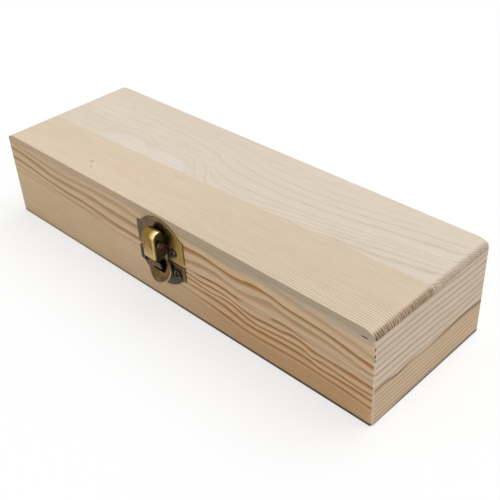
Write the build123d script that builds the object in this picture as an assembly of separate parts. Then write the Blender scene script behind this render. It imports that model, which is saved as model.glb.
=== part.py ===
from build123d import *
from math import atan2, cos, degrees, pi, radians, sin
import os

# Wooden pencil box with a hinged lid and a small hasp latch.
# Millimetres. The origin is the centre of the underside, +X runs along the box to
# the right as seen from the latch side, the latch is on the -Y side and +Z is up.

# Box
box_length = 225.0
box_width = 71.0
box_height = 44.7
parting_height = 25.4        # where the saw cut divides lid from base
lid_gap = 0.2                # width of the saw cut left open when the lid is shut
wall_thickness = 6.5
corner_ease = 0.9            # bevel on the upright outside corners
foot_ease = 0.5              # bevel round the outside of the underside

# Top panel, two boards glued edge to edge
top_thickness = 3.3
seam_depth_left = 26.8       # glue line, measured from the front edge
seam_depth_right = 34.0
end_round = 5.5              # how far the rounding reaches in from each short end
end_lip = 0.3                # upright strip left under the rounding
end_nose = 0.6               # radius of the rounding's outer part, as a share of its rise

# Bottom panel, let into a rabbet in the base walls
bottom_thickness = 3.0
panel_margin = 2.5           # wood left outside the rabbet

# Latch plates
latch_centre = 1.25          # the latch was screwed on a little right of the middle
plate_thickness = 0.8
plate_width = 28.8
plate_edge_gap = 0.9         # from each plate's straight edge to the saw cut
plate_bevel = 0.25
ear_width = 2.95
ear_rise = 1.3
upper_side_height = 10.7     # straight sides, up to the pointed ears
upper_arch_height = 6.2      # arch above the ears
lower_side_height = 6.95
lower_arch_height = 6.3
upper_screw_spread = 16.5
upper_screw_rise = 3.5       # above the upper plate's straight edge
lower_screw_spread = 19.7
lower_screw_drop = 4.7       # below the lower plate's straight edge

# Hooded housing on the upper plate, which carries the hasp pin
hood_width = 7.7
hood_reach = 6.9             # from the wood to the front of the hood
hood_wall = 0.8
hood_edge_round = 0.9
hood_mouth_rise = 0.75       # open lower end, above the upper plate's straight edge
hood_top_rise = 13.4         # crown of the hood, above the same edge

# Hasp
sheet_thickness = 0.9
hasp_gap = 0.2               # between the hasp's back and the plates
window_gap = 0.2             # between the hasp's window and the hood's cheeks
hasp_width = 11.2
ear_radius = 1.5
ear_root = 3.4               # how far down the arm the ear is joined to it
arm_top_drop = 1.5           # from the pin down to the tops of the flat arms
tab_radius = 7.25
tab_drop = 13.9              # from the pin down to the centre of the finger tab
window_drop = 16.0           # from the pin down to the window's lower edge
window_corner = 1.5
waist_fillet = 2.0
flare_drop = 10.0            # from the pin down to where the tongue starts to curl out
flare_radius = 25.0
flare_angle = 30.0

# Hasp pin
pin_radius = 0.65
pin_stand_off = 4.2          # pin axis, from the wood
pin_rise = 7.75              # pin axis, above the upper plate's straight edge
pin_running_gap = 0.05
pin_seat_gap = 0.01
rivet_radius = 0.85
rivet_thickness = 0.4
rivet_gap = 0.1

# Catch on the lower plate
catch_width = 6.2
catch_thickness = 0.8
catch_reach = 4.0            # from the wood to the front of the catch
catch_radius = 3.2
catch_drop = 5.6             # lowest point, below the lower plate's straight edge
catch_tip_drop = 0.8         # tip, below the same edge
catch_corner = 1.6

# Wood screws of the latch and of the hinges
latch_head_radius = 2.1
latch_head_height = 0.8
latch_shank_radius = 1.0
latch_screw_length = 5.6
hinge_head_radius = 1.6
hinge_head_height = 0.55
hinge_shank_radius = 0.8
hinge_screw_length = 5.0
screw_tip_share = 0.3        # radius at the point, as a share of the shank's radius
shank_sides = 8              # the twelve screws are drawn with few flats
head_sides = 20
screw_seat_gap = 0.02
plate_hole_gap = 0.2
head_crown_share = 0.68      # flat crown of a screw head, as a share of its radius
recess_width = 0.5
recess_share = 0.56          # length of the cross recess as a share of the head's width

# Butt hinges on the back
hinge_inset = 45.0           # from each short end to the middle of the hinge
hinge_width = 18.0
leaf_height = 8.6            # from the pin axis to the leaf's free edge
leaf_thickness = 0.8
leaf_corner = 1.2
knuckle_count = 3
knuckle_radius = 1.6
knuckle_side_gap = 0.15
knuckle_clearance = 0.1      # between the knuckles and the back of the box
leaf_relief = 0.25           # between a leaf and the other leaf's knuckles
hinge_pin_radius = 0.7
hinge_pin_head_radius = 1.15
hinge_pin_head = 0.4
hinge_screw_spread = 10.0
hinge_screw_drop = 5.3       # from the pin axis to the screws

# Levels and places that follow from the sizes above
base_top = parting_height - lid_gap / 2
lid_bottom = parting_height + lid_gap / 2
panel_bottom = box_height - top_thickness
upper_edge = lid_bottom + plate_edge_gap
lower_edge = base_top - plate_edge_gap
hood_mouth = upper_edge + hood_mouth_rise
hood_top = upper_edge + hood_top_rise
hood_root = plate_thickness / 2
pin_height = upper_edge + pin_rise
window_half = hood_width / 2 + window_gap
ear_inside = hasp_width / 2 - sheet_thickness
arm_top = pin_height - arm_top_drop
hasp_back = plate_thickness + hasp_gap
hinge_axis_y = box_width / 2 + knuckle_radius + knuckle_clearance
hinge_centres = {
    "left": -(box_length / 2 - hinge_inset),
    "right": box_length / 2 - hinge_inset,
}

# Sketch planes on the front of the box. In front_view, x runs to the right and y up.
# In side_view, x is the distance out from the wood and y is the height.
front_point = (0, -box_width / 2, 0)
front_view = Plane(origin=front_point, x_dir=(1, 0, 0), z_dir=(0, -1, 0))
side_view = Plane(origin=front_point, x_dir=(0, -1, 0), z_dir=(-1, 0, 0))


def polygon_prism(points, low, high):
    """An upright prism over a plan outline, between two heights."""
    outline = make_face(Polyline(*points, close=True))
    return extrude(Pos(0, 0, low) * outline, amount=high - low)


def across(profile, width):
    """A side_view profile extruded to a width centred on the latch."""
    return extrude(side_view * profile, amount=width / 2, both=True)


# Woodwork


def mitred_wall(run, reach, low, high):
    """A wall along X whose outer face lies at y = -reach, mitred at both ends."""
    half = run / 2
    points = [
        (-half + corner_ease, -reach),
        (half - corner_ease, -reach),
        (half - corner_ease / 2, -reach + corner_ease / 2),
        (half - wall_thickness, -reach + wall_thickness),
        (-half + wall_thickness, -reach + wall_thickness),
        (-half + corner_ease / 2, -reach + corner_ease / 2),
    ]
    return polygon_prism(points, low, high)


def eased_foot(wall, reach):
    """The wall with a small bevel along the outer edge of its underside."""
    foot_edges = [
        edge
        for edge in wall.edges().group_by(Axis.Z)[0]
        if edge.center().Y < -reach + corner_ease / 2
    ]
    return chamfer(foot_edges, foot_ease)


def four_walls(low, high):
    """The front, right, back and left walls of one half of the box."""
    long_wall = mitred_wall(box_length, box_width / 2, low, high)
    short_wall = mitred_wall(box_width, box_length / 2, low, high)
    if low == 0:
        long_wall = eased_foot(long_wall, box_width / 2)
        short_wall = eased_foot(short_wall, box_length / 2)
    return {
        "front": long_wall,
        "right": Rot(0, 0, 90) * short_wall,
        "back": Rot(0, 0, 180) * long_wall,
        "left": Rot(0, 0, 270) * short_wall,
    }


def bottom_panel():
    """The bottom, flush with the underside and let into the rabbet."""
    panel = Box(
        box_length - 2 * panel_margin,
        box_width - 2 * panel_margin,
        bottom_thickness,
    )
    return Pos(0, 0, bottom_thickness / 2) * panel


def end_rounding(side):
    """The rounding of one short end: a tight arc off the shoulder, then a flat one to the top."""
    half = box_length / 2
    shoulder = panel_bottom + end_lip
    rise = box_height - shoulder
    tight = rise * end_nose
    flat = ((end_round - tight) ** 2 + rise**2 - tight**2) / (2 * (rise - tight))
    tight_centre = (half - tight, shoulder)
    flat_centre = (half - end_round, box_height - flat)
    meeting = atan2(tight_centre[1] - flat_centre[1], tight_centre[0] - flat_centre[0])

    def on_arc(centre, radius, angle):
        return (side * (centre[0] + radius * cos(angle)), centre[1] + radius * sin(angle))

    join = on_arc(tight_centre, tight, meeting)
    return [
        ThreePointArc(
            (side * half, shoulder), on_arc(tight_centre, tight, meeting / 2), join
        ),
        ThreePointArc(
            join,
            on_arc(flat_centre, flat, (meeting + pi / 2) / 2),
            (side * (half - end_round), box_height),
        ),
    ]


def top_panel():
    """The whole top, with both short ends rounded over."""
    half = box_length / 2
    shoulder = panel_bottom + end_lip
    edges = [
        Polyline((-half, shoulder), (-half, panel_bottom), (half, panel_bottom), (half, shoulder)),
        *end_rounding(1),
        Line((half - end_round, box_height), (-half + end_round, box_height)),
        *end_rounding(-1),
    ]
    return extrude(Plane.XZ * make_face(edges), amount=box_width / 2, both=True)


def top_boards():
    """The two boards of the top panel, divided along the slightly skew glue line."""
    half = box_length / 2
    front = -box_width / 2
    left_end = (-half, front + seam_depth_left)
    right_end = (half, front + seam_depth_right)
    front_plan = [
        (-half + corner_ease, front),
        (half - corner_ease, front),
        (half, front + corner_ease),
        right_end,
        left_end,
        (-half, front + corner_ease),
    ]
    rear_plan = [
        left_end,
        right_end,
        (half, -front - corner_ease),
        (half - corner_ease, -front),
        (-half + corner_ease, -front),
        (-half, -front - corner_ease),
    ]
    panel = top_panel()
    front_board = panel & polygon_prism(front_plan, panel_bottom, box_height)
    rear_board = panel & polygon_prism(rear_plan, panel_bottom, box_height)
    return front_board, rear_board


# Screws


def tapered_prism(radius, end_radius, sides, length):
    """A many-sided cone on z = 0, of the first radius there and the second at its far end."""
    narrowing = (radius - end_radius) * cos(pi / sides)
    taper = degrees(atan2(narrowing, length))
    return extrude(RegularPolygon(radius, sides), amount=length, taper=taper)


def tapered_shank(radius, length):
    """A shank along Z from its seat at z = 0 down to a blunt point."""
    return Rot(180, 0, 0) * tapered_prism(radius, radius * screw_tip_share, shank_sides, length)


def wood_screw(head_radius, head_height, shank_radius, length):
    """A pan-headed screw with a cross recess, its head's seat at z = 0."""
    crown_radius = head_radius * head_crown_share
    head = tapered_prism(head_radius, crown_radius, head_sides, head_height)
    recess_length = 2 * head_radius * recess_share
    for size in ((recess_length, recess_width), (recess_width, recess_length)):
        head -= Pos(0, 0, head_height) * Box(*size, head_height)
    return head + tapered_shank(shank_radius, length)


def pilot_hole(shank_radius, length):
    """The hole that a screw makes in the wood, as a solid to cut away."""
    return tapered_shank(shank_radius + screw_seat_gap, length + screw_seat_gap)


def latch_screw_seats(spread, height):
    """Where a latch plate's two screws sit, pointing out of the plate."""
    return [
        front_view * Pos(side * spread / 2, height, plate_thickness) for side in (-1, 1)
    ]


def hinge_screw_seats(centre_x, height):
    """Where a hinge leaf's two screws sit, pointing out of the leaf."""
    seat_y = box_width / 2 + leaf_thickness
    return [
        Plane(
            origin=(centre_x + side * hinge_screw_spread / 2, seat_y, height),
            x_dir=(-1, 0, 0),
            z_dir=(0, 1, 0),
        ).location
        for side in (-1, 1)
    ]


def screw_group(seats, screw):
    """Copies of one screw, kept together as one named piece."""
    return Compound([seat * screw for seat in seats])


def drill(piece, seats, tool):
    """The piece with the tool cut away at every seat."""
    for seat in seats:
        piece -= seat * tool
    return piece


# Latch


def plate_outline(side_height, arch_height):
    """A plate with straight sides, two pointed ears and an arch between them."""
    half = plate_width / 2
    inner = half - ear_width
    shoulder = side_height + ear_rise
    crown = side_height + arch_height
    right_ear = ThreePointArc(
        (half, side_height),
        (half - ear_width * 0.55, side_height + ear_rise * 0.25),
        (inner, shoulder),
    )
    left_ear = ThreePointArc(
        (-inner, shoulder),
        (-half + ear_width * 0.55, side_height + ear_rise * 0.25),
        (-half, side_height),
    )
    lines = [
        Polyline((-half, side_height), (-half, 0), (half, 0), (half, side_height)),
        right_ear,
        ThreePointArc((inner, shoulder), (0, crown), (-inner, shoulder)),
        left_ear,
    ]
    return make_face(lines)


def bevelled_plate(outline):
    """A plate on the front of the box with its visible edges bevelled."""
    square_part = plate_thickness - plate_bevel
    plate = extrude(front_view * outline, amount=square_part)
    rim = front_view * Pos(0, 0, square_part) * outline
    return plate + extrude(rim, amount=plate_bevel, taper=45)


def hood_profile(inset):
    """The hood seen from the side, drawn in by an inset everywhere but at its open lower end."""
    back = hood_root + inset
    front = hood_reach - inset
    radius = (front - back) / 2
    springing = hood_top - (hood_reach - hood_root) / 2
    crown = (back + radius, springing + radius)
    lines = [
        Polyline((back, springing), (back, hood_mouth), (front, hood_mouth), (front, springing)),
        ThreePointArc((front, springing), crown, (back, springing)),
    ]
    return make_face(lines)


def hood():
    """The hooded housing, rooted in the plate, hollow and open at the lower end."""
    shell = across(hood_profile(0), hood_width)
    front_edges = [
        edge
        for edge in shell.edges()
        if abs(abs(edge.center().X) - hood_width / 2) < 0.01
        and edge.center().Y < -(box_width / 2 + plate_thickness + 1)
        and edge.center().Z > hood_mouth + 1
    ]
    shell = fillet(front_edges, hood_edge_round)
    hollow = across(hood_profile(hood_wall), hood_width - 2 * hood_wall)
    return shell - hollow


def upper_plate():
    """The plate on the lid with its hood, drilled for the hasp pin and the screws."""
    outline = plate_outline(upper_side_height, upper_arch_height)
    plate = bevelled_plate(Pos(0, upper_edge) * outline) + hood()
    pin_hole = Pos(pin_stand_off, pin_height) * Circle(pin_radius + pin_seat_gap)
    plate -= across(pin_hole, hood_width + 1)
    hole = Cylinder(latch_shank_radius + plate_hole_gap, 4 * plate_thickness)
    return drill(plate, latch_screw_seats(upper_screw_spread, upper_edge + upper_screw_rise), hole)


def catch():
    """A tongue of the lower plate, bent out and up like a bill, with rounded corners."""
    low = lower_edge - catch_drop
    tip = lower_edge - catch_tip_drop
    root = catch_reach - catch_radius
    middle = low + catch_radius
    inner_radius = catch_radius - catch_thickness
    slant = sin(radians(45))
    lines = [
        Polyline((root, low), (0, low), (0, low + catch_thickness), (root, low + catch_thickness)),
        ThreePointArc(
            (root, low + catch_thickness),
            (root + inner_radius * slant, middle - inner_radius * slant),
            (root + inner_radius, middle),
        ),
        Polyline(
            (root + inner_radius, middle),
            (root + inner_radius, tip),
            (catch_reach, tip),
            (catch_reach, middle),
        ),
        ThreePointArc(
            (catch_reach, middle),
            (root + catch_radius * slant, middle - catch_radius * slant),
            (root, low),
        ),
    ]
    bill = across(make_face(lines), catch_width)
    front = Pos(0, (low + tip) / 2) * Rectangle(catch_width, tip - low)
    front = fillet(front.vertices().group_by(Axis.Y)[-1], catch_corner)
    return bill & extrude(front_view * front, amount=catch_reach)


def lower_plate():
    """The plate on the base, the same outline turned over, with its catch."""
    outline = Rot(0, 0, 180) * plate_outline(lower_side_height, lower_arch_height)
    plate = bevelled_plate(Pos(0, lower_edge) * outline) + catch()
    hole = Cylinder(latch_shank_radius + plate_hole_gap, 4 * plate_thickness)
    return drill(plate, latch_screw_seats(lower_screw_spread, lower_edge - lower_screw_drop), hole)


def hasp_front():
    """The hasp seen from the front: two arms, a waist and a round finger tab."""
    length = tab_drop - arm_top_drop
    arms = Pos(0, arm_top - length / 2) * Rectangle(hasp_width, length)
    tab = Pos(0, pin_height - tab_drop) * Circle(tab_radius)
    outline = arms + tab
    waist = [
        corner
        for corner in outline.vertices()
        if abs(abs(corner.X) - hasp_width / 2) < 0.01 and corner.Y < arm_top - 1
    ]
    outline = fillet(waist, waist_fillet)
    window = Pos(0, pin_height - window_drop / 2 + 1) * Rectangle(2 * window_half, window_drop + 2)
    window = fillet(window.vertices().group_by(Axis.Y)[0], window_corner)
    return outline - window


def tongue_profile():
    """The hasp's sheet seen from the side: straight, then curling out at its lower end."""
    back = hasp_back
    front = hasp_back + sheet_thickness
    bend = pin_height - flare_drop
    centre = back + flare_radius
    tight_radius = flare_radius - sheet_thickness

    def on_curl(radius, angle):
        return (centre - radius * cos(radians(angle)), bend - radius * sin(radians(angle)))

    lines = [
        Polyline((back, bend), (back, arm_top), (front, arm_top), (front, bend)),
        ThreePointArc(
            (front, bend), on_curl(tight_radius, flare_angle / 2), on_curl(tight_radius, flare_angle)
        ),
        Line(on_curl(tight_radius, flare_angle), on_curl(flare_radius, flare_angle)),
        ThreePointArc(
            on_curl(flare_radius, flare_angle), on_curl(flare_radius, flare_angle / 2), (back, bend)
        ),
    ]
    return make_face(lines)


def hasp_ear():
    """The flap on the outside of the right arm, folded out to carry the pin."""
    eye = Pos(pin_stand_off, pin_height) * Circle(ear_radius)
    root_middle = (hasp_back + sheet_thickness / 2, arm_top - ear_root / 2)
    root = Pos(*root_middle) * Rectangle(sheet_thickness, ear_root)
    flap = make_hull([*eye.edges(), *root.edges()])
    solid = extrude(side_view * flap, amount=sheet_thickness)
    return Pos(ear_inside + sheet_thickness, 0, 0) * solid


def hasp():
    """The swinging fork: flat arms, folded ears and the flared tab, as one pressing."""
    silhouette = extrude(front_view * hasp_front(), amount=2 * hood_reach)
    tongue = across(tongue_profile(), 2 * tab_radius + 1) & silhouette
    right_ear = hasp_ear()
    fork = tongue + right_ear + mirror(right_ear, about=Plane.YZ)
    pin_hole = Pos(pin_stand_off, pin_height) * Circle(pin_radius + pin_running_gap)
    return fork - across(pin_hole, hasp_width)


def hasp_pin():
    """The pin through hood and ears, riveted over at both ends."""
    reach = hasp_width / 2 + rivet_gap
    centre = Pos(pin_stand_off, pin_height)
    pin = across(centre * Circle(pin_radius), 2 * reach)
    rivet = extrude(side_view * (centre * Circle(rivet_radius)), amount=rivet_thickness)
    left = Pos(-reach, 0, 0) * rivet
    return pin + left + mirror(left, about=Plane.YZ)


# Hinges, drawn around their own pin axis with y out from the box and z up


def knuckle_span(index):
    """Where one knuckle starts and ends along the pin."""
    pitch = hinge_width / knuckle_count
    start = -hinge_width / 2 + index * pitch
    left = start + (knuckle_side_gap / 2 if index > 0 else 0)
    right = start + pitch - (knuckle_side_gap / 2 if index < knuckle_count - 1 else 0)
    return left, right


def upright_leaf(first_knuckle):
    """A leaf standing up from the pin, with every second knuckle from the first given."""
    inner = -(knuckle_radius + knuckle_clearance)
    relief = knuckle_radius + leaf_relief
    sheet_middle = inner + leaf_thickness / 2
    height = leaf_height - relief
    plate = Pos(0, relief + height / 2) * Rectangle(hinge_width, height)
    plate = fillet(plate.vertices().group_by(Axis.Y)[-1], leaf_corner)
    wall_plane = Plane(origin=(0, inner, 0), x_dir=(-1, 0, 0), z_dir=(0, 1, 0))
    leaf = extrude(wall_plane * plate, amount=leaf_thickness)
    for index in range(first_knuckle, knuckle_count, 2):
        left, right = knuckle_span(index)
        middle = (left + right) / 2
        barrel = Pos(middle, 0, 0) * Rot(0, 90, 0) * Cylinder(knuckle_radius, right - left)
        strap = Pos(middle, sheet_middle, relief / 2) * Box(right - left, leaf_thickness, relief)
        leaf += barrel + strap
    bore = Rot(0, 90, 0) * Cylinder(hinge_pin_radius + pin_running_gap, hinge_width + 1)
    leaf -= bore
    for side in (-1, 1):
        hole = RegularPolygon(hinge_shank_radius + plate_hole_gap, 2 * shank_sides)
        centre = Pos(side * hinge_screw_spread / 2, hinge_screw_drop)
        leaf -= extrude(wall_plane * (centre * hole), amount=leaf_thickness)
    return leaf


def hinge_pin():
    """The hinge pin with a small head at each end."""
    reach = hinge_width / 2 + rivet_gap
    pin = Rot(0, 90, 0) * Cylinder(hinge_pin_radius, 2 * reach)
    head = Rot(0, 90, 0) * Cylinder(hinge_pin_head_radius, hinge_pin_head)
    for side in (-1, 1):
        pin += Pos(side * (reach + hinge_pin_head / 2), 0, 0) * head
    return pin


# Assembly

base_walls = four_walls(0, base_top)
lid_walls = four_walls(lid_bottom, panel_bottom)
panel = bottom_panel()
for name in base_walls:
    base_walls[name] -= panel

latch_screw = wood_screw(
    latch_head_radius, latch_head_height, latch_shank_radius, latch_screw_length
)
latch_pilot = pilot_hole(latch_shank_radius, latch_screw_length)
hinge_screw = wood_screw(
    hinge_head_radius, hinge_head_height, hinge_shank_radius, hinge_screw_length
)
hinge_pilot = pilot_hole(hinge_shank_radius, hinge_screw_length)

on_latch = Pos(latch_centre, 0, 0)
upper_seats = [
    on_latch * seat
    for seat in latch_screw_seats(upper_screw_spread, upper_edge + upper_screw_rise)
]
lower_seats = [
    on_latch * seat
    for seat in latch_screw_seats(lower_screw_spread, lower_edge - lower_screw_drop)
]
lid_walls["front"] = drill(lid_walls["front"], upper_seats, latch_pilot)
base_walls["front"] = drill(base_walls["front"], lower_seats, latch_pilot)

pieces = {}
for side_name, centre_x in hinge_centres.items():
    place = Pos(centre_x, hinge_axis_y, parting_height)
    lid_seats = hinge_screw_seats(centre_x, parting_height + hinge_screw_drop)
    base_seats = hinge_screw_seats(centre_x, parting_height - hinge_screw_drop)
    lid_walls["back"] = drill(lid_walls["back"], lid_seats, hinge_pilot)
    base_walls["back"] = drill(base_walls["back"], base_seats, hinge_pilot)
    pieces[f"{side_name}_hinge_lid_leaf"] = place * upright_leaf(1)
    pieces[f"{side_name}_hinge_base_leaf"] = place * mirror(upright_leaf(0), about=Plane.XY)
    pieces[f"{side_name}_hinge_pin"] = place * hinge_pin()
    pieces[f"{side_name}_hinge_lid_screws"] = screw_group(lid_seats, hinge_screw)
    pieces[f"{side_name}_hinge_base_screws"] = screw_group(base_seats, hinge_screw)

for name, wall in base_walls.items():
    pieces[f"base_{name}_wall"] = wall
for name, wall in lid_walls.items():
    pieces[f"lid_{name}_wall"] = wall
pieces["base_bottom_panel"] = panel
pieces["lid_top_front_board"], pieces["lid_top_rear_board"] = top_boards()
pieces["latch_upper_plate"] = on_latch * upper_plate()
pieces["latch_lower_plate"] = on_latch * lower_plate()
pieces["latch_hasp"] = on_latch * hasp()
pieces["latch_pin"] = on_latch * hasp_pin()
pieces["latch_upper_screws"] = screw_group(upper_seats, latch_screw)
pieces["latch_lower_screws"] = screw_group(lower_seats, latch_screw)

os.makedirs("parts", exist_ok=True)
for name, piece in pieces.items():
    export_step(piece, f"parts/{name}.step")
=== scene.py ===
import math
import bpy
import numpy as np
from mathutils import Matrix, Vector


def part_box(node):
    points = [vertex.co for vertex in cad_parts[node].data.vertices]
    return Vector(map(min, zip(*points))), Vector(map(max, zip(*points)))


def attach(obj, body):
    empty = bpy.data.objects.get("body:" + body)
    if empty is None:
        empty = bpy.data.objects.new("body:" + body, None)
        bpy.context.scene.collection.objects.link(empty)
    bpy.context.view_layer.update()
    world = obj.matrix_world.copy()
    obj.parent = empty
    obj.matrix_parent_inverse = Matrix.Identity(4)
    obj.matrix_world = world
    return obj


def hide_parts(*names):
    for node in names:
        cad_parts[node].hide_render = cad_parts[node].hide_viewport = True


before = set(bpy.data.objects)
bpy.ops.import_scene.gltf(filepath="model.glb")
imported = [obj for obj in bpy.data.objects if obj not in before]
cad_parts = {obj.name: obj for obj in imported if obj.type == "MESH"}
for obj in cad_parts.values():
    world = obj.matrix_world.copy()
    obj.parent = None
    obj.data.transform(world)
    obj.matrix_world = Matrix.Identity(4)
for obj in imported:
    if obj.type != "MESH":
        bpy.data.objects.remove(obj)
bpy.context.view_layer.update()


# Bottom panel. A thin sheet of birch-faced plywood, let into a rabbet that runs round
# the inside of the base walls and glued there, flush with their lower edges.
class Wire:
    """One socket of a material. Arithmetic on it adds Math nodes."""

    def __init__(self, tree, socket=None):
        self.tree = tree
        self.socket = socket

    def node(self, kind, settings, sockets, output=0):
        """Adds a node: first its settings, then the values or links of its sockets."""
        made = self.tree.nodes.new("ShaderNode" + kind)
        for name, value in settings.items():
            if name == "points":
                curve = made.mapping.curves[0]
                while len(curve.points) < len(value):
                    curve.points.new(0.5, 0.5)
                for point, place in zip(curve.points, value):
                    point.location = place
                made.mapping.update()
            else:
                setattr(made, name, value)
        for name, value in sockets.items():
            if isinstance(value, Wire):
                self.tree.links.new(value.socket, made.inputs[name])
            else:
                made.inputs[name].default_value = value
        return Wire(self.tree, made.outputs[output])

    def math(self, operation, *values):
        return self.node("Math", {"operation": operation}, dict(enumerate(values)))

    def __add__(self, other):
        return self.math("ADD", self, other)

    def __radd__(self, other):
        return self.math("ADD", other, self)

    def __sub__(self, other):
        return self.math("SUBTRACT", self, other)

    def __rsub__(self, other):
        return self.math("SUBTRACT", other, self)

    def __mul__(self, other):
        return self.math("MULTIPLY", self, other)

    def __rmul__(self, other):
        return self.math("MULTIPLY", other, self)

    def __truediv__(self, other):
        return self.math("DIVIDE", self, other)

    def __rtruediv__(self, other):
        return self.math("DIVIDE", other, self)

    def __pow__(self, other):
        return self.math("POWER", self, other)

    def __rpow__(self, other):
        return self.math("POWER", other, self)

    def __abs__(self):
        return self.math("ABSOLUTE", self)

    def fraction(self):
        return self.math("FRACT", self)

    def larger(self, other):
        return self.math("MAXIMUM", self, other)

    def rise(self, start, end):
        """0 before start and 1 after end, with a smooth slope between; start may be the larger."""
        settings = {"interpolation_type": "SMOOTHSTEP"}
        ends = {"Value": self, "From Min": start, "From Max": end, "To Min": 0.0, "To Max": 1.0}
        return self.node("MapRange", settings, ends)

    def clipped(self):
        return self.node("Clamp", {}, {"Value": self})

    def cloud(self, place, scales, detail=2.0, rough=0.5):
        """Soft noise about 0.5 at a place of three wires; scales, one or three, are per mm."""
        x, y, z = (part * float(scale) for part, scale in zip(place, np.broadcast_to(scales, 3)))
        point = self.node("CombineXYZ", {}, {"X": x, "Y": y, "Z": z})
        sockets = {"Vector": point, "Scale": 1.0, "Detail": detail, "Roughness": rough}
        return self.node("TexNoise", {"noise_dimensions": "3D"}, sockets)

    def tint(self, share, below, above):
        """Goes from one colour to another as share goes from 0 to 1."""
        settings = {"data_type": "RGBA", "blend_type": "MIX", "clamp_factor": True}
        return self.node("Mix", settings, {0: share, 6: below, 7: above}, 2)

    def shaded(self, colour, light):
        """A colour made lighter or darker by a value."""
        settings = {"data_type": "RGBA", "blend_type": "MULTIPLY", "clamp_factor": True}
        grey = self.node("CombineColor", {}, {"Red": light, "Green": light, "Blue": light})
        return self.node("Mix", settings, {0: 1.0, 6: colour, 7: grey}, 2)

    def facing(self, axis):
        """One part of the surface's own normal: 0 for x, 1 for y, 2 for z."""
        normal = self.node("TexCoord", {}, {}, 1)
        return self.node("SeparateXYZ", {}, {"Vector": normal}, axis)


def new_finish(name):
    """A fresh material, as (material, its shader, a Wire to build on, x, y, z in millimetres)."""
    material = bpy.data.materials.new(name)
    material.use_nodes = True
    tree = material.node_tree
    shader = tree.nodes["Principled BSDF"]
    start = Wire(tree)
    place = start.node("TexCoord", {}, {}, 3)
    scaled = start.node("VectorMath", {"operation": "SCALE"}, {"Vector": place, "Scale": 1000.0})
    axes = [start.node("SeparateXYZ", {}, {"Vector": scaled}, i) for i in range(3)]
    return material, shader, start, *axes


def colour(red, green, blue):
    return (red, green, blue, 1.0)


def connect(shader, **sockets):
    """Feeds a shader's sockets, named with underscores for spaces."""
    for name, wire in sockets.items():
        target = shader.inputs[name.replace("_", " ")]
        wire.tree.links.new(wire.socket, target)


def dress(material, *nodes):
    """Puts a material on CAD nodes."""
    for node in nodes:
        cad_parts[node].material_slots[0].material = material


def wood_finish(
    shader, wire, lie, rings, strength, early, late, fibre=0.30, soft=0.62, full=0.93
):
    """The wood surface. lie is (along, across, deep) in mm, with the grain running along. A ring
    lies between two whole numbers of rings. Its late wood darkens from the share soft of its
    width to the share full, and ends sharply. Returns the colour and the place in a ring."""

    def drawn_out(along_scale, across_scale, detail=2.0, rough=0.5):
        """Noise stretched along the grain."""
        return wire.cloud(lie, (along_scale, across_scale, across_scale), detail, rough)

    threads = drawn_out(0.05, 1.9, 4.0, 0.62)
    hair = drawn_out(0.12, 5.0)
    pores = drawn_out(0.16, 3.2, 1.0).rise(0.66, 0.78)
    waver = drawn_out(0.04, 0.25, 3.0)
    broad = drawn_out(0.008, 0.09, 3.0)
    turn = (rings + (threads - 0.5) * 0.16).fraction()
    band = turn.rise(soft, full) * turn.rise(1.0, 0.95)
    shown = (band * strength * (0.35 + 0.9 * waver + 0.5 * threads)).clipped()
    light = 0.935 - fibre + threads * fibre + hair * fibre + broad * 0.13 - pores * 0.10
    wood = wire.shaded(wire.tint(shown, early, late), light)
    connect(shader, Base_Color=wood, Roughness=0.74 - shown * 0.12 + (threads - 0.5) * 0.2)
    relief = threads * 0.6 + shown * 0.5 + hair * 0.4 - pores * 0.5
    bump = wire.node("Bump", {}, {"Height": relief, "Strength": 0.5, "Distance": 0.00006})
    connect(shader, Normal=bump)
    return wood, turn


plywood, panel_shader, wire, x, y, z = new_finish("bottom_panel_plywood")
rings_per_mm, sweep_rings = 0.16, 7.0
sweep = wire.cloud((x, y, z), (0.006, 0.03, 0.03))
panel_rings = y * rings_per_mm + sweep * sweep_rings
birch_early, birch_late = colour(0.78, 0.66, 0.49), colour(0.62, 0.46, 0.29)
wood_finish(panel_shader, wire, (x, y, z), panel_rings, 0.30, birch_early, birch_late)
dress(plywood, "base_bottom_panel")


# Front wall, base and lid halves. One pine board, planed and sanded, mitred at both
# ends; the closed box was sawn through at the parting, so the grain runs on across it.
def limits(node):
    """A CAD node's lowest and highest corner in millimetres."""
    return [(np.array(corner) * 1000.0).tolist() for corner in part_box(node)]


def drawn_line(wire, along, points, span, reach=1.0):
    """A smooth curve through points of (along, height), inside 0 to span and 0 to reach."""
    shares = [(place / span, level / reach) for place, level in points]
    return wire.node("FloatCurve", {"points": shares}, {"Value": along / span}) * reach


def rings_between(wire, guides, numbers, along, height, span, reach):
    """Ring numbers at a place on a board. Each guide is a growth line drawn as a smooth curve
    of height over length; between two guides the number goes evenly from one to the next."""
    curves = [drawn_line(wire, along, guide, span, reach) for guide in guides]
    rings = numbers[0]
    for index in range(len(curves) - 1):
        low, high = curves[index], curves[index + 1]
        step = numbers[index + 1] - numbers[index]
        rings = ((height - low) / (high - low)).clipped() * step + rings
    return rings


def from_oval(across, up, middle, half_size):
    """0 in the middle of an oval, 1 on its edge and more outside it."""
    return ((across - middle[0]) / half_size[0]) ** 2.0 + ((up - middle[1]) / half_size[1]) ** 2.0


# The front board of the top reaches the outer faces of the box.
top_low, top_high = limits("lid_top_front_board")
left_end, front_face = top_low[0], top_low[1]
box_length = top_high[0] - left_end
box_width = -2 * front_face
box_top = top_high[2]

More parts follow.
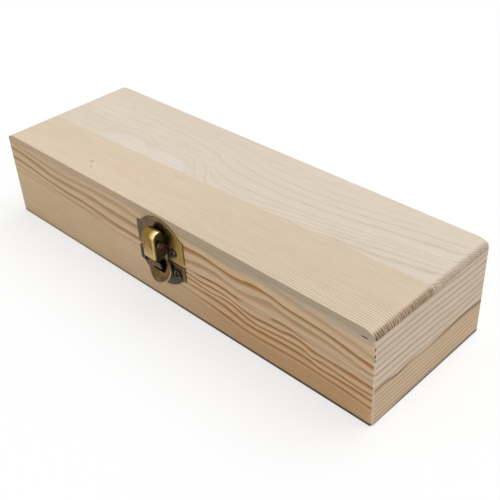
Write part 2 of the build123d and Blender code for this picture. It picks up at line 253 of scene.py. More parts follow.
# Growth lines as (distance from the left end, height) in mm, the lowest one first.
front_guides = [
    [(0, 1), (225, 1)],
    [(0, 13), (60, 13), (110, 13), (132, 12), (164, 9), (195, 10), (225, 8)],
    [(0, 22), (60, 20), (110, 18), (132, 18.1), (149.5, 17.8), (156.5, 16.4), (164, 15),
     (174, 15.4), (185, 16), (195, 15.7), (201, 14.6), (209, 14.8), (225, 14.2)],
    [(0, 26), (29, 24.5), (57, 22), (86, 20.5), (110, 20.6), (129, 20.9), (142, 20),
     (153, 20.7), (158.6, 19.6), (164, 18.1), (168.5, 17.5), (175.5, 18.1), (183, 18.9),
     (192, 19.1), (197.5, 17.7), (202, 18.1), (209.5, 17.4), (216, 16.7), (225, 16.6)],
    [(0, 29.3), (29, 27.5), (47, 25.8), (64, 24.9), (75, 23.3), (86, 22.8), (110, 23),
     (129, 23.2), (136, 22.7), (144, 23.2), (151, 22.9), (157, 21.9), (163, 20.9),
     (168.5, 20.8), (174, 21.5), (181, 21.8), (188, 22.9), (192.5, 22.5), (198, 21.2),
     (206, 21), (216, 21), (225, 20.4)],
    [(0, 33.1), (18, 31.9), (26, 30.6), (36, 29.9), (47, 29.3), (57, 29.4), (72, 28.3),
     (79, 27.7), (97, 27), (115, 26), (128, 25.2), (135, 25.7), (142, 26.2), (149, 26.5),
     (154, 26), (160, 25.2), (174, 24.6), (180, 25.5), (186, 25.4), (192, 24.6), (202, 24.8),
     (213, 24.2), (225, 23.5)],
    [(0, 38.6), (15, 37.5), (26, 36), (34, 34.6), (47, 34.5), (61, 34.8), (68, 34.8),
     (75, 34.1), (97, 33.4), (112, 31.8), (122, 30.4), (129, 30.3), (134, 31.2), (139, 31.9),
     (146, 31.9), (152, 30.8), (159, 30), (164, 30.3), (170, 31.5), (176, 32.4), (181, 31.5),
     (188, 30.7), (202, 30), (209, 28.9), (216, 27.5), (225, 26.2)],
    [(0, 42), (30, 39), (47, 38.3), (68, 39.3), (86, 39.3), (100, 37.9), (115, 37.2),
     (129.6, 36.6), (139, 36.9), (146, 36.1), (154, 35.4), (160, 35.4), (165, 36.4),
     (170, 36.6), (177, 35.9), (185, 34.5), (192, 34.1), (206, 33.1), (213, 32), (225, 30.3)],
    [(0, 44), (60, 43), (129, 41.5), (154, 40.5), (169, 41.5), (192, 39.5), (209, 37.3),
     (216, 36.5), (225, 34.5)],
]
front_numbers = [1, 8.4, 10, 11, 12, 13, 14, 15, 16]
# The curves are drawn up to this height, and up to this ring number.
front_reach = 50.0
ring_limit = 17.0
# How strong each growth line is, as (ring number, strength), left and right of the latch.
left_lines = [
    (0, 0.06), (10.54, 0.08), (11.39, 0.34), (12.07, 0.38), (12.41, 0.78), (12.92, 0.78),
    (13.43, 0.70), (13.94, 0.70), (14.45, 0.50), (15.13, 0.40), (17, 0.3),
]
right_lines = [
    (0, 0.45), (5.95, 0.65), (9.69, 0.90), (10.2, 1.0), (12.07, 1.0), (12.495, 0.62),
    (13.005, 0.60), (13.6, 0.55), (14.11, 0.60), (14.62, 0.95), (15.045, 0.90), (15.64, 0.4),
    (17, 0.3),
]

front_pine, front_shader, wire, x, y, z = new_finish("front_wall_pine")
from_left = x - left_end
front_rings = rings_between(
    wire, front_guides, front_numbers, from_left, z, box_length, front_reach
)
left_strength = drawn_line(wire, front_rings, left_lines, ring_limit)
right_strength = drawn_line(wire, front_rings, right_lines, ring_limit)
# One growth line is faint but for two short stretches, each lens-shaped.
first_lens_x, second_lens_x, lens_ring = 147.0, 185.0, 12.85
first_lens = abs(from_left - first_lens_x).rise(15.0, 9.0)
second_lens = abs(from_left - second_lens_x).rise(11.0, 6.0)
faint_line = abs(front_rings - lens_ring).rise(0.35, 0.2)
lens = first_lens.larger(second_lens) * faint_line
right_strength = right_strength * (1.0 - faint_line * 0.5) + lens * 0.7
to_right = from_left.rise(95.0, 165.0 - z)
front_strength = left_strength * (1.0 - to_right) + right_strength * to_right
left_pine, low_right_pine = colour(0.81, 0.585, 0.36), colour(0.79, 0.52, 0.285)
high_right_pine = colour(0.79, 0.57, 0.355)
left_amber, right_amber = colour(0.44, 0.215, 0.055), colour(0.44, 0.19, 0.04)
right_pine = wire.tint(z.rise(8.0, 28.0), low_right_pine, high_right_pine)
front_early = wire.tint(from_left.rise(90.0, 180.0), left_pine, right_pine)
front_late = wire.tint(from_left.rise(60.0, 130.0), left_amber, right_amber)
# How much faster rings pass on the cut edges and the inside, going deeper into the board.
depth_drift = 0.24
wood, turn = wood_finish(
    front_shader, wire, (x, z, y), front_rings + (y - front_face) * depth_drift,
    front_strength, front_early, front_late, fibre=0.42, soft=0.38, full=0.80,
)
# The wood is greyer next to the top, with fine level lines.
left_grey, right_grey = colour(0.66, 0.475, 0.30), colour(0.64, 0.50, 0.335)
past_latch = from_left.rise(90.0, 150.0)
grey_wood = wire.tint(past_latch, left_grey, right_grey)
fine_lines = wire.cloud((x, z, y), (0.02, 1.5, 0.5), 3.0)
grey_light = 1.10 - turn.rise(0.3, 0.95) * 0.22 + (fine_lines - 0.5) * 0.75
greyed = z.rise(37.0, 40.0) * (0.45 + 0.35 * past_latch)
wood = wire.tint(greyed, wood, wire.shaded(grey_wood, grey_light))
# Painted shade darkens the left edge, glue left one gap open under the top, and a painted contact
# shadow darkens the foot.
edge_shade, foot_shadow = colour(0.28, 0.20, 0.14), colour(0.06, 0.043, 0.03)
gap_black = colour(0.03, 0.018, 0.01)
gap_middle, gap_half_size = (220.4, 41.0), (1.6, 0.35)
# Painted shade: the left edge is darkened where it rounds away from the light.
shaded_left_edge = from_left.rise(1.8, 0.5)
wood = wire.tint(shaded_left_edge * 0.5, wood, edge_shade)
gap = from_oval(from_left, z, gap_middle, gap_half_size).rise(1.3, 0.4)
wood = wire.tint(gap * 0.95, wood, gap_black)
# Painted contact shadow: the foot is darkened next to the table, more towards the right.
foot = z.rise(2.2, 1.3) * (0.5 + 0.5 * from_left.rise(20.0, 150.0))
wood = wire.tint(foot * 0.95, wood, foot_shadow)
connect(front_shader, Base_Color=wood)
dress(front_pine, "base_front_wall", "lid_front_wall")


# Back wall, base and lid halves. The same stock as the front, sawn at the same parting;
# the photograph hides it, so it has plain straight growth lines that drift a little.
back_pine, back_shader, wire, x, y, z = new_finish("back_wall_pine")
back_face = -front_face
rings_per_mm, drift_rings = 0.34, 9.0
drift = wire.cloud((x, z, y), (0.007, 0.02, 0.02))
back_rings = z * rings_per_mm + drift * drift_rings + (y - back_face) * depth_drift
calm = wire.cloud((x, z, y), (0.004, 0.12, 0.12), 1.0).rise(0.35, 0.65)
back_early, back_late = colour(0.80, 0.61, 0.39), colour(0.40, 0.21, 0.075)
back_strength = 0.25 + calm * 0.55
wood_finish(
    back_shader, wire, (x, z, y), back_rings, back_strength, back_early, back_late, fibre=0.42
)
dress(back_pine, "base_back_wall", "lid_back_wall")


# End walls, base and lid halves. Short pine boards mitred to the long ones, with fine
# growth lines almost level and one dark wavy natural line low down.
end_pine, end_shader, wire, x, y, z = new_finish("end_wall_pine")
from_front = y - front_face
mark_guide = [(0, 17.6), (7.5, 17.65), (14.3, 16.6), (22.8, 17.4), (29, 16.8), (37, 16.5),
              (45.6, 16.7), (57, 17.0), (71, 16.2)]
mark_reach = 20.0
mark_level = drawn_line(wire, from_front, mark_guide, box_width, mark_reach)
below = z.rise(mark_level + 0.6, mark_level - 0.6)
# The lines fall a little to the back, wander a little, and are closer below the dark one.
fall_to_back, wander_rings, end_depth_drift = 0.022, 1.2, 0.22
rings_per_mm, more_below, step_below = 0.32, 0.13, 2.2
wander = wire.cloud((x, y, z), (0.02, 0.02, 0.03))
end_rings = (z + from_front * fall_to_back) * (rings_per_mm + below * more_below)
end_rings = end_rings + wander * wander_rings - below * step_below
end_rings = end_rings + (box_length / 2 - abs(x)) * end_depth_drift
pine_above, pine_below = colour(0.74, 0.60, 0.45), colour(0.70, 0.52, 0.34)
end_early, end_late = wire.tint(below, pine_above, pine_below), colour(0.40, 0.25, 0.13)
end_strength = 0.62 + below * 0.15
wood, turn = wood_finish(
    end_shader, wire, (y, z, x), end_rings, end_strength, end_early, end_late,
    fibre=0.40, soft=0.58,
)
# The dark line is strongest near the front and in the rear third, where the wood under it is
# browner too; a painted contact shadow darkens the foot, and painted shade darkens the lowest 5
# mm.
line_brown, foot_shadow_grey = colour(0.17, 0.085, 0.03), colour(0.13, 0.11, 0.09)
shade_brown = colour(0.54, 0.385, 0.21)
rear_third = from_front.rise(30.0, 52.0)
line_strength = 0.32 + 0.45 * from_front.rise(26.0, 16.0) + 0.75 * rear_third
dark_line = abs(z - mark_level).rise(0.95, 0.3) * line_strength
wood = wire.tint(dark_line, wood, line_brown)
# Painted contact shadow at the foot, from near the front corner back.
foot = z.rise(2.2, 1.2) * from_front.rise(4.0, 22.0)
wood = wire.tint(foot * 0.9, wood, foot_shadow_grey)
shade_under = (mark_level - z).rise(5.0, 0.0) * below * rear_third
wood = wire.tint(shade_under * 0.5, wood, shade_brown)
# Painted shade: the wall gets darker towards the table.
wood = wire.shaded(wood, 1.0 - z.rise(5.0, 0.0) * 0.10)
# The bevel of the mitre carries a pale painted highlight, and three chips of it are out near the
# front corner, each with its height on the wall, its half size and the half size of its darkest
# part.
chips = [(37.4, 0.9, 0.4), (34.2, 1.0, 0.5), (32.2, 0.7, 0.3)]
bevel_highlight_pale, chip_black = colour(0.90, 0.745, 0.56), colour(0.025, 0.015, 0.01)
bevel_start = box_length / 2 + box_width / 2 - 1.1
bevel = (abs(x) + abs(y)).rise(bevel_start, bevel_start + 0.2)
# Painted highlight along the mitre's bevel.
wood = wire.tint(bevel * 0.6, wood, bevel_highlight_pale)
near_front = from_front.rise(0.85, 0.65)
for level, half_size, dark_half in chips:
    chip = abs(z - level).rise(half_size, dark_half) * near_front
    wood = wire.tint(chip * 0.95, wood, chip_black)
connect(end_shader, Base_Color=wood)
dress(end_pine, "base_right_wall", "lid_right_wall", "base_left_wall", "lid_left_wall")


# Front board of the top. Quarter-sawn pine with fine straight lines, glued edge to edge
# to the rear board and glued down on the lid walls; both short ends are rounded over.
def cut_ends(wire, place, wood, turn, share, early, late):
    """End grain: the rings are cut across, so they show dark and close, with open pores."""
    stripe = turn.rise(0.15, 0.55) * turn.rise(1.0, 0.85)
    open_pores = wire.cloud(place, (0.2, 1.5, 0.35), 4.0, 0.75)
    grain = wire.tint((stripe * 0.5 + (open_pores - 0.42) * 3.0).clipped(), early, late)
    return wire.tint(share, wood, grain)


front_top, front_top_shader, wire, x, y, z = new_finish("top_front_board_pine")
from_left, from_front = x - left_end, y - front_face
on_edge = from_front.rise(0.6, 0.2)
rings_per_mm, bend_rings, face_drift, edge_drift = 0.88, 3.0, 0.05, 0.55
bend = wire.cloud((x, y, z), (0.004, 0.03, 0.03), 1.0)
front_top_rings = from_front * rings_per_mm + bend * bend_rings
front_top_rings = front_top_rings + (box_top - z) * (face_drift + on_edge * edge_drift)
to_right = from_left.rise(60.0, 190.0)
front_top_strength = 0.12 + to_right * (0.50 + 0.30 * from_front.rise(30.5, 10.5))
left_edge_pine, right_edge_pine = colour(0.66, 0.475, 0.305), colour(0.56, 0.46, 0.33)
edge_pine = wire.tint(to_right, left_edge_pine, right_edge_pine)
face_pine, front_top_late = colour(0.76, 0.62, 0.465), colour(0.50, 0.34, 0.20)
front_top_early = wire.tint(on_edge, face_pine, edge_pine)
wood, turn = wood_finish(
    front_top_shader, wire, (x, y, z), front_top_rings, front_top_strength,
    front_top_early, front_top_late,
)
# A faint pink stain, and two small dark spots beside it.
stain_pink, spot_brown = colour(0.80, 0.58, 0.45), colour(0.28, 0.17, 0.08)
stain_x, stain_y = 74.0, 16.0
spots = [((55.8, 10.1), (1.1, 0.7)), ((59.2, 6.9), (0.9, 0.5))]
stain = abs(from_left - stain_x).rise(14.0, 5.0) * abs(from_front - stain_y).rise(6.0, 2.0)
wood = wire.tint(stain * 0.5, wood, stain_pink)
for middle, half_size in spots:
    spot = from_oval(from_left, from_front, middle, half_size).rise(1.4, 0.3)
    wood = wire.tint(spot * 0.55, wood, spot_brown)
from_near_end = box_length / 2 - abs(x)
front_top_end = from_near_end.rise(2.5, 0.9) * (1.0 - on_edge)
cut_early, cut_late = colour(0.60, 0.43, 0.285), colour(0.13, 0.07, 0.038)
wood = cut_ends(wire, (x, y, z), wood, turn, front_top_end, cut_early, cut_late)
connect(front_top_shader, Base_Color=wood)
dress(front_top, "lid_top_front_board")


# Rear board of the top. Flat-sawn, paler pine whose growth lines arch and sweep; its
# ends are rounded with the front board's after the two are glued.

# Growth lines as (distance from the left end, distance from the front) in mm.
rear_guides = [
    [(0, 28), (35, 28), (54, 31), (66, 29), (80, 31), (95, 22), (111, 16), (138, 18),
     (171, 25), (197, 29), (225, 33)],
    [(0, 33), (35, 33), (46, 38), (54, 40.8), (62, 39), (66, 36), (70, 38), (80, 40),
     (90, 38.5), (95, 33), (102, 25), (111, 21), (138, 24), (171, 33), (197, 36.7), (225, 42.5)],
    [(0, 42.3), (42, 42.6), (53, 46), (70, 46), (90, 45), (100, 41), (111, 31), (125, 29),
     (138, 31.5), (153, 34.9), (175, 38.2), (197, 43.4), (225, 48)],
    [(0, 50), (40, 50), (60, 51), (86, 48.5), (101, 43.3), (110, 40.4), (120, 38.6),
     (130, 38.6), (153, 40.4), (175, 43.4), (225, 51.5)],
    [(0, 56), (50, 56), (92, 53), (110, 47), (130, 45.6), (160, 47), (190, 52), (225, 58)],
    [(0, 62), (60, 61), (101, 54.5), (130, 50.3), (160, 51.5), (190, 57), (225, 63)],
    [(0, 72), (60, 70), (110, 63), (140, 59), (170, 62), (225, 72)],
    [(0, 86), (110, 82), (225, 86)],
]
rear_numbers = [0, 1, 3, 5, 6, 7, 9, 12]
rear_reach = 90.0
rear_depth_drift = 0.5

rear_top, rear_top_shader, wire, x, y, z = new_finish("top_rear_board_pine")
from_left, from_front = x - left_end, y - front_face
rear_rings = rings_between(
    wire, rear_guides, rear_numbers, from_left, from_front, box_length, rear_reach
)
rear_rings = rear_rings + (z - box_top) * rear_depth_drift
fade = from_front.rise(66.0, 50.0 + from_left * 0.02) * (0.45 + 0.55 * from_left.rise(10.0, 40.0))
rear_strength = (0.15 + from_left.rise(80.0, 200.0) * 0.20) * (0.15 + 0.85 * fade)
# The hollows between the arches are the palest wood of the board.
pale = rear_rings.rise(1.02, 0.9) * from_left.rise(30.0, 45.0) * from_left.rise(100.0, 90.0)
rear_pine, palest_pine = colour(0.775, 0.665, 0.535), colour(0.80, 0.725, 0.63)
rear_early, rear_late = wire.tint(pale * 0.7, rear_pine, palest_pine), colour(0.52, 0.38, 0.24)
wood, turn = wood_finish(
    rear_top_shader, wire, (x, y, z), rear_rings, rear_strength, rear_early, rear_late
)
from_near_end = box_length / 2 - abs(x)
rear_top_end = from_near_end.rise(3.0, 0.7) * 0.85
fine_turn = (rear_rings * 2.6).fraction()
cut_early, cut_late = colour(0.60, 0.495, 0.375), colour(0.30, 0.21, 0.135)
wood = cut_ends(wire, (x, y, z), wood, fine_turn, rear_top_end, cut_early, cut_late)
connect(rear_top_shader, Base_Color=wood)
dress(rear_top, "lid_top_rear_board")


# Upper latch plate with its hood. Thin brass sheet, pressed and plated to an antique bronze that
# is dark in the hollows, with the gold on the hood partly rubbed wear and partly painted
# reflection and highlight; screwed to the lid.
def bronze_finish(shader, wire, place, tone, roughness):
    """Antique bronze: the tone, mottled by uneven plating, with fine pits and rubbing marks."""
    mottle = wire.cloud(place, 0.6, 4.0, 0.6)
    speckle = wire.cloud(place, 3.0, 3.0, 0.6)
    metal = wire.shaded(tone, 0.55 + mottle * 0.6 + speckle * 0.3)
    connect(shader, Base_Color=metal, Roughness=roughness + (mottle - 0.5) * 0.3)
    shader.inputs["Metallic"].default_value = 1.0
    relief = mottle * 0.5 + speckle * 0.3
    bump = wire.node("Bump", {}, {"Height": relief, "Strength": 0.35, "Distance": 0.00006})
    connect(shader, Normal=bump)


def from_centre(across, z, level):
    """Distance in the plane of the plates from a point on the latch's middle line."""
    return (across * across + (z - level) * (z - level)) ** 0.5


plate_low, plate_high = limits("latch_upper_plate")
latch_middle = (plate_low[0] + plate_high[0]) / 2
straight_edge = plate_low[2]

upper_bronze, shader, wire, x, y, z = new_finish("upper_plate_bronze")
across, out = x - latch_middle, front_face - y
# The plate is brown at the left with steel blue patches of painted reflection, and painted gold
# reflection at the right; its rim is rubbed gold with a painted highlight.
brown, reflected_steel_blue = colour(0.155, 0.085, 0.03), colour(0.095, 0.070, 0.045)
reflected_plate_gold, rim_wear_and_highlight_gold = colour(0.32, 0.205, 0.045), colour(0.33, 0.25, 0.085)
left_tone = wire.tint(wire.cloud((x, y, z), 0.22).rise(0.40, 0.60), brown, reflected_steel_blue)
# Painted reflection: gold to the right of the hood, and steel blue patches among the brown at the
# left.
plate_tone = wire.tint(across.rise(3.0, 11.0), left_tone, reflected_plate_gold)
# The rim is rubbed gold with a painted highlight on its arch.
rim_wear_and_highlight = from_centre(across, z, straight_edge).rise(15.9, 16.7) * across.rise(-8.0, 0.0)
plate_tone = wire.tint(rim_wear_and_highlight * 0.6, plate_tone, rim_wear_and_highlight_gold)
# The hood's front is painted with reflection: lighter gold low down and darker patches above its
# foot, with a painted highlight on its right edge and on the right of its crown; its gold is
# partly rubbed wear too.
high_gold, low_reflection_gold = colour(0.26, 0.14, 0.022), colour(0.50, 0.35, 0.15)
dark_reflection_patch, edge_highlight_gold = colour(0.17, 0.075, 0.015), colour(0.66, 0.46, 0.13)
left_crown, right_crown_highlight = colour(0.24, 0.145, 0.03), colour(0.95, 0.75, 0.32)
hood_foot, hood_shoulder, crown_start, crown_top = 28.0, 35.5, 36.9, 38.3
reflection_patches = wire.cloud((x, y, z), (0.55, 0.55, 0.33), 3.0).rise(0.46, 0.60)
above_foot = z.rise(hood_foot, hood_foot + 6.0)
front_tone = wire.tint(z.rise(hood_shoulder, hood_foot), high_gold, low_reflection_gold)
front_tone = wire.tint(reflection_patches * above_foot * 0.7, front_tone, dark_reflection_patch)
# Painted highlight on the right edge of the hood's front.
right_edge_highlight = across.rise(2.6, 3.1) * wire.facing(1).rise(-0.3, -0.8)
front_tone = wire.tint(right_edge_highlight * 0.85, front_tone, edge_highlight_gold)
# Painted highlight on the right end of the crown.
crown_tone = wire.tint(across.rise(0.4, 3.2), left_crown, right_crown_highlight)
front_tone = wire.tint(z.rise(crown_start, crown_top), front_tone, crown_tone)
# Its cheeks are darkened with painted shade, and its inside stays dark.
green_black, cheek_brown = colour(0.12, 0.12, 0.07), colour(0.20, 0.16, 0.10)
inside_black = colour(0.06, 0.045, 0.025)
# Painted shade on the hood's side faces.
cheek = abs(wire.facing(0)).rise(0.55, 0.9)
cheek_shade_tone = wire.tint(reflection_patches, green_black, cheek_brown)
hood_tone = wire.tint(cheek, front_tone, cheek_shade_tone)
upper_tone = wire.tint(out.rise(0.9, 1.6), plate_tone, hood_tone)
inside = wire.facing(1).rise(0.2, 0.5) * out.rise(0.5, 0.9)
upper_tone = wire.tint(inside, upper_tone, inside_black)
bronze_finish(shader, wire, (x, y, z), upper_tone, roughness=0.36)
dress(upper_bronze, "latch_upper_plate")


# Lower latch plate with its catch, pressed from the same sheet and plated dark, with painted shade
# on its upper part under the hasp; it is screwed to the base, and the catch is bent out and up to
# hold the hasp.
lower_bronze, shader, wire, x, y, z = new_finish("lower_plate_bronze")
across, out = x - latch_middle, front_face - y
shaded_high_brown, low_grey = colour(0.045, 0.026, 0.009), colour(0.060, 0.049, 0.031)
lower_rim_gold, catch_brown = colour(0.26, 0.18, 0.07), colour(0.105, 0.066, 0.027)
# Painted shade: the upper part, under the hasp, is darker.
lower_tone = wire.tint(z.rise(20.0, 13.0), shaded_high_brown, low_grey)
lower_rim = across.rise(12.9, 13.9).larger(z.rise(23.6, 24.2))
lower_tone = wire.tint(lower_rim * 0.6, lower_tone, lower_rim_gold)
catch = out.rise(2.0, 3.6)
lower_tone = wire.tint(catch, lower_tone, catch_brown)
bronze_finish(shader, wire, (x, y, z), lower_tone, roughness=0.38)
dress(lower_bronze, "latch_lower_plate")


# Hasp and its pin. The fork is one pressing of thicker sheet with two ears folded out to
# the pin, a window that drops over the catch and a round tab curled out for the finger.
tab_level = 20.2

hasp_bronze, shader, wire, x, y, z = new_finish("hasp_bronze")
across, out = x - latch_middle, front_face - y
tab_dark, tab_brown = colour(0.10, 0.066, 0.032), colour(0.17, 0.10, 0.036)
arm_reflection_grey, tab_rim_gold = colour(0.21, 0.17, 0.11), colour(0.42, 0.33, 0.15)
ear_grey = colour(0.16, 0.12, 0.07)
tab_mottle = wire.cloud((x, y, z), 0.35, 3.0).rise(0.42, 0.58)
tab_tone = wire.tint(tab_mottle, tab_dark, tab_brown)
# The arms are painted a lighter grey as painted reflection.
hasp_tone = wire.tint(z.rise(26.0, 21.0), arm_reflection_grey, tab_tone)
# The right side of the tab's rim is rubbed gold with a painted highlight.
near_rim = from_centre(across, z, tab_level).rise(6.3, 7.1)
rubbed_and_lit_tab_rim = near_rim * z.rise(22.5, 20.0) * across.rise(-2.0, 5.0)
hasp_tone = wire.tint(rubbed_and_lit_tab_rim, hasp_tone, tab_rim_gold)
ears = out.rise(1.9, 2.4) * z.rise(30.5, 32.0)
hasp_tone = wire.tint(ears, hasp_tone, ear_grey)
bronze_finish(shader, wire, (x, y, z), hasp_tone, roughness=0.34)
dress(hasp_bronze, "latch_hasp")

pin_bronze, shader, wire, x, y, z = new_finish("pin_bronze")
pin_dark, pin_copper = colour(0.10, 0.06, 0.045), colour(0.38, 0.22, 0.15)
pin_tone = wire.tint(wire.cloud((x, y, z), 1.2), pin_dark, pin_copper)
bronze_finish(shader, wire, (x, y, z), pin_tone, roughness=0.4)
dress(pin_bronze, "latch_pin")


# Latch screws, two in each plate. Small pan-headed wood screws with a cross recess, turned
# from bronze-plated steel; each pair goes where its plain CAD screws are.
def rows_to_mesh(rings, steps, start):
    """Faces over rings of points round an axis, closed by one point at each end. The points
    come ring by ring from the number start on, and the two end points follow them."""
    row, column = np.meshgrid(np.arange(rings - 1), np.arange(steps), indexing="ij")
    here = start + row * steps + column
    beside = start + row * steps + (column + 1) % steps
    quads = np.stack([here, here + steps, beside + steps, beside], -1).reshape(-1, 4)
    ring = np.arange(steps)
    next_step = (ring + 1) % steps
    first_row, last_row = start, start + (rings - 1) * steps
    crown_point = np.full(steps, start + rings * steps)
    crown = np.stack([crown_point, first_row + ring, first_row + next_step], -1)
    tip = np.stack([crown_point + 1, last_row + next_step, last_row + ring], -1)
    return quads.tolist() + crown.tolist() + tip.tolist()


def screw_pair(node, body, out_side, radius, height, shank, turns):
    """Two screws. With r from the axis, the crown is w = H (1 - 0.5 (r/R)^3) - D max(u, v), where
    u and v are 1 inside the two slots of the cross and 0 outside; then rim, seat and shank."""
    low, high = limits(node)
    right = np.array([-out_side, 0.0, 0.0])
    up = np.array([0.0, 0.0, 1.0])
    out = np.array([0.0, out_side, 0.0])
    length = high[1] - low[1] - height
    seat_y = low[1] + height if out_side < 0 else high[1] - height
    level = (low[2] + high[2]) / 2
    crown_rings, steps = 30, 80
    angle = np.linspace(0.0, 2.0 * np.pi, steps, endpoint=False)
    r, a = np.meshgrid(np.linspace(0.03, 1.0, crown_rings) * radius, angle, indexing="ij")
    slot_width, slot_length, slot_depth = radius * 0.16, radius * 0.64, height * 0.8
    side_slope, end_slope = radius * 0.05, radius * 0.10
    slots = []
    for first, second in ((r * np.cos(a), r * np.sin(a)), (r * np.sin(a), r * np.cos(a))):
        narrow = np.clip((slot_width - abs(first)) / side_slope + 0.5, 0.0, 1.0)
        short = np.clip((slot_length - abs(second)) / end_slope + 0.5, 0.0, 1.0)
        slots.append(narrow * short)
    slot = np.maximum(*slots)
    crown = height * (1.0 - 0.5 * (r / radius) ** 3) - slot_depth * slot
    # Below the crown come the rim, the seat's edge, the shank's root and its point.
    below_r = np.array([radius, radius * 0.97, shank, shank * 0.3])
    below_w = np.array([height * 0.12, 0.0, 0.0, -length])
    r_low, a_low = np.meshgrid(below_r, angle, indexing="ij")
    rings = crown_rings + len(below_r)
    all_r = np.append(np.concatenate([r, r_low]).ravel(), [0.0, 0.0])
    all_a = np.append(np.concatenate([a, a_low]).ravel(), [0.0, 0.0])
    all_w = np.concatenate([crown, np.repeat(below_w[:, None], steps, 1)]).ravel()
    all_w = np.append(all_w, [height - slot_depth, -length])
    in_cross = np.append(slot.ravel(), np.append(np.zeros(len(below_r) * steps), [1.0, 0.0]))
    points, faces = [], []
    for centre_x, turn in zip((low[0] + radius, high[0] - radius), turns):
        faces += rows_to_mesh(rings, steps, len(points) * len(all_r))
        points.append(
            np.array([centre_x, seat_y, level])
            + (all_r * np.cos(all_a + turn))[:, None] * right
            + (all_r * np.sin(all_a + turn))[:, None] * up
            + all_w[:, None] * out
        )
    mesh = bpy.data.meshes.new(node + "_heads")
    mesh.from_pydata((np.concatenate(points) / 1000.0).tolist(), [], faces)
    mesh.polygons.foreach_set("use_smooth", np.ones(len(faces), bool))
    hollow = mesh.attributes.new("hollow", "FLOAT", "POINT")
    hollow.data.foreach_set("value", np.tile(in_cross, len(points)).astype(np.float32))
    mesh.update()
    pair = bpy.data.objects.new(node + "_heads", mesh)
    bpy.context.scene.collection.objects.link(pair)
    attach(pair, body)
    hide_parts(node)
    return pair


def screw_metal(name, dark, bright):
    """Bronze-plated steel, rubbed on the crown and black in the cross."""
    material, shader, wire, x, y, z = new_finish(name)
    cross_black = colour(0.006, 0.004, 0.004)
    hollow = wire.node("Attribute", {"attribute_name": "hollow"}, {}, 2)
    patches = wire.cloud((x, y, z), 1.1, 3.0)
    tone = wire.tint(patches.rise(0.35, 0.65), dark, bright)
    tone = wire.tint(hollow.rise(0.05, 0.5), tone, cross_black)
    bronze_finish(shader, wire, (x, y, z), tone, roughness=0.36)
    return material


latch_screw_bronze = screw_metal(
    "latch_screw_bronze", colour(0.035, 0.022, 0.014), colour(0.13, 0.10, 0.085)
)
latch_head = {"radius": 2.1, "height": 0.8, "shank": 1.0}
for node, body, turns in (
    ("latch_upper_screws", "lid", (0.35, 0.9)),
    ("latch_lower_screws", "base", (1.2, 0.15)),
):
    pair = screw_pair(node, body, out_side=-1, turns=turns, **latch_head)
    pair.data.materials.append(latch_screw_bronze)


# Butt hinges, two on the back. Pressed bronze-plated leaves, the lid's rolled into one
# knuckle between the base's two, on a headed pin, each leaf held by two small screws.
hinge_bronze, shader, wire, x, y, z = new_finish("hinge_bronze")
leaf_thickness = 0.8
leaf_brown, knuckle_gold = colour(0.15, 0.105, 0.05), colour(0.40, 0.28, 0.10)
rubbed_knuckle = (y - back_face - leaf_thickness).rise(0.6, 2.2)
hinge_tone = wire.tint(rubbed_knuckle, leaf_brown, knuckle_gold)
bronze_finish(shader, wire, (x, y, z), hinge_tone, roughness=0.36)
hinge_screw_bronze = screw_metal(
    "hinge_screw_bronze", colour(0.10, 0.075, 0.05), colour(0.26, 0.20, 0.13)
)
hinge_head = {"radius": 1.6, "height": 0.55, "shank": 0.8}
for hand, turns in (("left", (0.2, 1.1)), ("right", (0.7, 1.4))):
    dress(hinge_bronze, hand + "_hinge_lid_leaf", hand + "_hinge_base_leaf", hand + "_hinge_pin")
    for body in ("lid", "base"):
        node = f"{hand}_hinge_{body}_screws"
        pair = screw_pair(node, body, out_side=1, turns=turns, **hinge_head)
        pair.data.materials.append(hinge_screw_bronze)


# The white table that the box stands on. It is only the floor of the picture: it looks
# nearly white to the camera and in the metal, and lights the wood as plain matt white.
def seen_or_reflected(wire):
    """1 for rays from the camera and off glossy surfaces."""
    return wire.node("LightPath", {}, {}, 0).larger(wire.node("LightPath", {}, {}, 3))


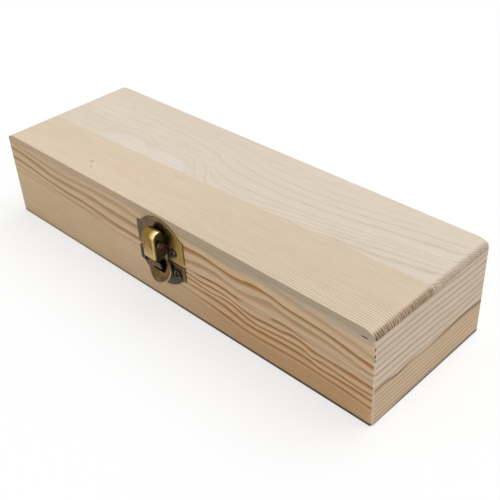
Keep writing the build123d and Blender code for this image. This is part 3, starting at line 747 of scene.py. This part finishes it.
table_half = 3.0
table_level = -0.00005
table_corners = [
    (-table_half, -table_half, table_level), (table_half, -table_half, table_level),
    (table_half, table_half, table_level), (-table_half, table_half, table_level),
]
table_mesh = bpy.data.meshes.new("table_top")
table_mesh.from_pydata(table_corners, [], [(0, 1, 2, 3)])
table_top = bpy.data.objects.new("table_top", table_mesh)
bpy.context.scene.collection.objects.link(table_top)
table_white = bpy.data.materials.new("table_white")
table_white.use_nodes = True
tree = table_white.node_tree
tree.nodes.remove(tree.nodes["Principled BSDF"])
wire = Wire(tree)
matt_grey, dim_grey, white = (colour(level, level, level) for level in (0.82, 0.33, 1.0))
matt = wire.node("BsdfDiffuse", {}, {"Color": matt_grey})
dim = wire.node("BsdfDiffuse", {}, {"Color": dim_grey})
glow = wire.node("Emission", {}, {"Color": white, "Strength": 0.70})
bright = wire.node("AddShader", {}, {0: dim, 1: glow})
table_look = wire.node("MixShader", {}, {0: seen_or_reflected(wire), 1: matt, 2: bright})
tree.links.new(table_look.socket, tree.nodes["Material Output"].inputs["Surface"])
table_mesh.materials.append(table_white)


# Light: an even pale sky all round, which looks white to the camera and in the metal, and
# one broad lamp high behind the box, as from a large window.
world = bpy.data.worlds.new("studio")
bpy.context.scene.world = world
world.use_nodes = True
wire = Wire(world.node_tree)
sky = world.node_tree.nodes["Background"]
sky.inputs["Color"].default_value = white
sky_strength = 0.50
shown_strength = seen_or_reflected(wire) * (1.0 - sky_strength) + sky_strength
world.node_tree.links.new(shown_strength.socket, sky.inputs["Strength"])
lamp = bpy.data.lights.new("window_lamp", "SUN")
lamp.energy = 1.48
lamp.angle = math.radians(50)
lamp_object = bpy.data.objects.new("window_lamp", lamp)
bpy.context.scene.collection.objects.link(lamp_object)
lamp_tilt, lamp_turn = math.radians(28), math.radians(160)
lamp_object.matrix_world = Matrix.Rotation(lamp_turn, 4, "Z") @ Matrix.Rotation(lamp_tilt, 4, "X")


# Camera, at the height and turn from which the box was seen.
camera = bpy.data.cameras.new("camera")
camera.sensor_width = 36.0
camera.lens = 59.52247
camera_object = bpy.data.objects.new("camera", camera)
bpy.context.scene.collection.objects.link(camera_object)
camera_place = (0.23245, -0.20573, 0.22818)
camera_turn = math.radians(46.23828)
camera_dip = math.radians(35.55218)
camera_roll = math.radians(-3.30016)
camera_object.matrix_world = (
    Matrix.Translation(camera_place)
    @ Matrix.Rotation(camera_turn, 4, "Z")
    @ Matrix.Rotation(math.pi / 2 - camera_dip, 4, "X")
    @ Matrix.Rotation(camera_roll, 4, "Z")
)
bpy.context.scene.camera = camera_object
bpy.context.scene.view_settings.view_transform = "Standard"
